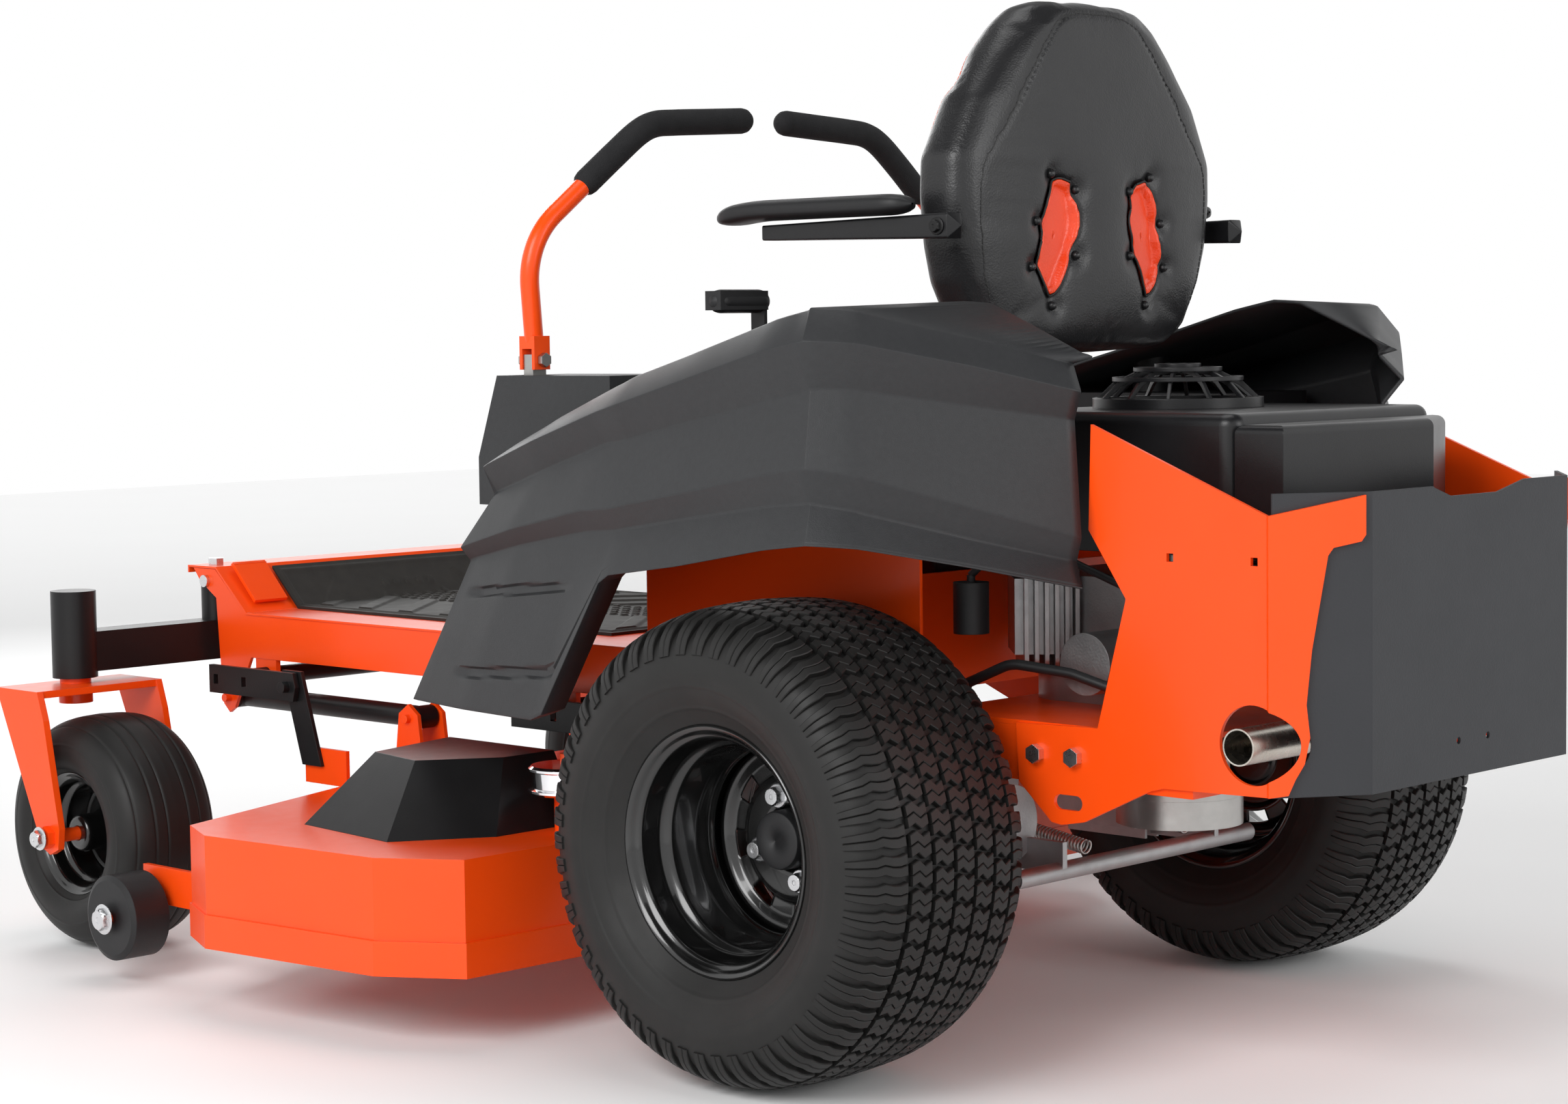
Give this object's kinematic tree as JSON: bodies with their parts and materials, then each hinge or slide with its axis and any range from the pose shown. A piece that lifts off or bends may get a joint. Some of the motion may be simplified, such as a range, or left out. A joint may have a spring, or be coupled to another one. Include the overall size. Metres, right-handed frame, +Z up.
{
  "type": "zero turn mower",
  "caption": "Ride-on zero turn lawn mower with lap bar steering, a rear engine behind a high-back seat, swivelling front casters and a belly deck with a side chute.",
  "frame": {"origin": "on the ground, in the middle of the machine's own box (the chute sticks out on the right)", "axes": "+X to the driver's right, +Y forwards, +Z up"},
  "size_m": [1.7031, 2.0594, 1.249],
  "materials": {
    "orange_paint": "gloss powder coat",
    "black_paint": "satin powder coat",
    "bumper_paint": "dark grey textured powder coat",
    "rim_paint": "gloss black enamel",
    "tyre_rubber": "dull rubber",
    "mat_rubber": "moulded mat",
    "grip_foam": "closed-cell foam",
    "body_plastic": "fine leather-grain moulding",
    "engine_plastic": "satin moulding",
    "seat_vinyl": "grained vinyl with orange stitching",
    "arm_plastic": "soft-touch moulding",
    "tank_plastic": "rotomoulded",
    "bare_steel": "turned and plated",
    "cast_aluminium": "as cast",
    "chrome_plate": "bright",
    "zinc_fasteners": "zinc plated",
    "key_plastic": "moulded"
  },
  "bodies": {
    "chassis": {"frame_rails": "orange_paint", "front_axle": "black_paint", "foot_deck": "orange_paint", "foot_mat": "mat_rubber", "rear_frame": "orange_paint", "rear_bumper": "bumper_paint", "fender_left": "body_plastic", "fender_right": "body_plastic", "console_left": "body_plastic", "console_right": "body_plastic", "fuel_tank": "tank_plastic", "battery": "tank_plastic", "engine_block": "cast_aluminium", "engine_shroud": "engine_plastic", "air_cleaner_cover": "engine_plastic", "fan_guard": "engine_plastic", "muffler": "bare_steel", "transaxles": "cast_aluminium", "return_springs": "bare_steel", "fuel_and_wiring": "grip_foam", "chassis_bolts": "zinc_fasteners"},
    "wheel_rear_left": {"tyre_rear_left": "tyre_rubber", "rim_rear_left": "rim_paint"},
    "wheel_rear_right": {"tyre_rear_right": "tyre_rubber", "rim_rear_right": "rim_paint"},
    "caster_left": {"caster_fork_left": "orange_paint"},
    "caster_wheel_left": {"caster_tyre_left": "tyre_rubber", "caster_rim_left": "rim_paint"},
    "caster_right": {"caster_fork_right": "orange_paint"},
    "caster_wheel_right": {"caster_tyre_right": "tyre_rubber", "caster_rim_right": "rim_paint"},
    "lever_left": {"lever_pivot_left": "bare_steel"},
    "bar_left": {"lap_bar_left": "orange_paint", "grip_left": "grip_foam"},
    "lever_right": {"lever_pivot_right": "bare_steel"},
    "bar_right": {"lap_bar_right": "orange_paint", "grip_right": "grip_foam"},
    "brake": {"brake_lever": "key_plastic"},
    "seat_base": {"seat_pan": "black_paint"},
    "seat": {"seat_cushion": "seat_vinyl", "seat_back": "seat_vinyl"},
    "arm_left": {"armrest_left": "arm_plastic"},
    "arm_right": {"armrest_right": "arm_plastic"},
    "deck": {"deck_shell": "orange_paint", "hanger_links": "black_paint", "belt_covers": "black_paint"},
    "blade_left": {"spindle_left": "bare_steel"},
    "blade_centre": {"spindle_centre": "bare_steel"},
    "blade_right": {"spindle_right": "bare_steel"},
    "idler": {"idler_pulley": "chrome_plate"},
    "chute": {"discharge_chute": "mat_rubber"},
    "scalp_left": {"scalp_wheel_left": "arm_plastic"},
    "scalp_right": {"scalp_wheel_right": "arm_plastic"},
    "lift_front": {"lift_rocker_front": "black_paint"},
    "lift_rear": {"lift_rocker_rear": "black_paint"},
    "trailing": {"trailing_links": "black_paint"},
    "crank": {"crankshaft": "bare_steel"},
    "key": {"ignition_key": "key_plastic"},
    "switch": {"blade_switch": "key_plastic"},
    "cap": {"fuel_cap": "key_plastic"}
  },
  "joints": [
    {"name": "rear_left_spin", "type": "hinge", "parent": "chassis", "child": "wheel_rear_left", "pos_m": [-0.597, -0.41175, 0.276], "axis": [1, 0, 0], "continuous": true},
    {"name": "caster_left_swivel", "type": "hinge", "parent": "chassis", "child": "caster_left", "pos_m": [-0.642, 0.95025, 0.4], "axis": [0, 0, 1], "continuous": true},
    {"name": "caster_left_spin", "type": "hinge", "parent": "caster_left", "child": "caster_wheel_left", "pos_m": [-0.642, 0.86625, 0.1635], "axis": [1, 0, 0], "continuous": true},
    {"name": "steer_left", "type": "hinge", "parent": "chassis", "child": "lever_left", "pos_m": [-0.528, 0.07625, 0.73], "axis": [-1, 0, 0], "range_deg": [-14, 14]},
    {"name": "swing_left", "type": "hinge", "parent": "lever_left", "child": "bar_left", "pos_m": [-0.528, 0.07625, 0.822], "axis": [0, -1, 0], "range_deg": [0, 30]},
    {"name": "armrest_left_lift", "type": "hinge", "parent": "seat", "child": "arm_left", "pos_m": [-0.405, -0.49975, 0.972], "axis": [1, 0, 0], "range_deg": [0, 85]},
    {"name": "scalp_left_spin", "type": "hinge", "parent": "deck", "child": "scalp_left", "pos_m": [-0.78, 0.62825, 0.088], "axis": [1, 0, 0], "continuous": true},
    {"name": "rear_right_spin", "type": "hinge", "parent": "chassis", "child": "wheel_rear_right", "pos_m": [0.327, -0.41175, 0.276], "axis": [1, 0, 0], "continuous": true},
    {"name": "caster_right_swivel", "type": "hinge", "parent": "chassis", "child": "caster_right", "pos_m": [0.372, 0.95025, 0.4], "axis": [0, 0, 1], "continuous": true},
    {"name": "caster_right_spin", "type": "hinge", "parent": "caster_right", "child": "caster_wheel_right", "pos_m": [0.372, 0.86625, 0.1635], "axis": [1, 0, 0], "continuous": true},
    {"name": "steer_right", "type": "hinge", "parent": "chassis", "child": "lever_right", "pos_m": [0.258, 0.07625, 0.73], "axis": [-1, 0, 0], "range_deg": [-14, 14]},
    {"name": "swing_right", "type": "hinge", "parent": "lever_right", "child": "bar_right", "pos_m": [0.258, 0.07625, 0.822], "axis": [0, 1, 0], "range_deg": [0, 30]},
    {"name": "armrest_right_lift", "type": "hinge", "parent": "seat", "child": "arm_right", "pos_m": [0.135, -0.49975, 0.972], "axis": [1, 0, 0], "range_deg": [0, 85]},
    {"name": "scalp_right_spin", "type": "hinge", "parent": "deck", "child": "scalp_right", "pos_m": [0.51, 0.62825, 0.088], "axis": [1, 0, 0], "continuous": true},
    {"name": "brake_pull", "type": "hinge", "parent": "chassis", "child": "brake", "pos_m": [-0.428, -0.22075, 0.64], "axis": [1, 0, 0], "range_deg": [0, 20]},
    {"name": "seat_tilt", "type": "hinge", "parent": "chassis", "child": "seat_base", "pos_m": [-0.135, -0.00675, 0.662], "axis": [-1, 0, 0], "range_deg": [0, 22]},
    {"name": "seat_slide", "type": "slide", "parent": "seat_base", "child": "seat", "axis": [0, 1, 0], "range_m": [-0.03, 0.03]},
    {"name": "deck_lift", "type": "slide", "parent": "chassis", "child": "deck", "axis": [0, 0, 1], "range_m": [-0.02, 0.03]},
    {"name": "lift_front_turn", "type": "hinge", "parent": "chassis", "child": "lift_front", "pos_m": [-0.135, 0.79225, 0.366], "axis": [-1, 0, 0], "range_deg": [-8.2, 12.3]},
    {"name": "lift_rear_turn", "type": "hinge", "parent": "chassis", "child": "lift_rear", "pos_m": [-0.135, 0.15025, 0.366], "axis": [-1, 0, 0], "range_deg": [-8.2, 12.3]},
    {"name": "trailing_turn", "type": "hinge", "parent": "chassis", "child": "trailing", "pos_m": [-0.135, 0.88125, 0.328], "axis": [-1, 0, 0], "range_deg": [-3, 4.4]},
    {"name": "crank_spin", "type": "hinge", "parent": "chassis", "child": "crank", "pos_m": [-0.135, -0.62675, 0.5], "axis": [0, 0, 1], "continuous": true},
    {"name": "blade_left_spin", "type": "hinge", "parent": "deck", "child": "blade_left", "pos_m": [-0.585, 0.20025, 0.2], "axis": [0, 0, 1], "continuous": true},
    {"name": "blade_centre_spin", "type": "hinge", "parent": "deck", "child": "blade_centre", "pos_m": [-0.135, 0.34525, 0.2], "axis": [0, 0, 1], "continuous": true},
    {"name": "blade_right_spin", "type": "hinge", "parent": "deck", "child": "blade_right", "pos_m": [0.315, 0.20025, 0.2], "axis": [0, 0, 1], "continuous": true},
    {"name": "idler_spin", "type": "hinge", "parent": "deck", "child": "idler", "pos_m": [-0.537, 0.01825, 0.3], "axis": [0, 0, 1], "continuous": true},
    {"name": "chute_flip", "type": "hinge", "parent": "deck", "child": "chute", "pos_m": [0.593, 0.23325, 0.231], "axis": [0, -1, 0], "range_deg": [0, 85]},
    {"name": "key_turn", "type": "hinge", "parent": "chassis", "child": "key", "pos_m": [0.21, -0.06175, 0.803], "axis": [0, 0, -1], "range_deg": [0, 70]},
    {"name": "blade_switch_pull", "type": "slide", "parent": "chassis", "child": "switch", "axis": [0, 0, 1], "range_m": [0, 0.012]},
    {"name": "cap_turn", "type": "hinge", "parent": "chassis", "child": "cap", "pos_m": [0.295, -0.26175, 0.84], "axis": [0, 0, 1], "range_deg": [0, 180]}
  ],
  "couplings": [
    {"joint": "lift_front_turn", "follows": "deck_lift", "rad_per_m": 7.0423},
    {"joint": "lift_rear_turn", "follows": "deck_lift", "rad_per_m": 7.0423},
    {"joint": "trailing_turn", "follows": "deck_lift", "rad_per_m": 2.451},
    {"joint": "blade_left_spin", "follows": "crank_spin", "ratio": 1.2258},
    {"joint": "blade_centre_spin", "follows": "crank_spin", "ratio": 1.2258},
    {"joint": "blade_right_spin", "follows": "crank_spin", "ratio": 1.2258},
    {"joint": "idler_spin", "follows": "crank_spin", "ratio": 1.7273}
  ]
}
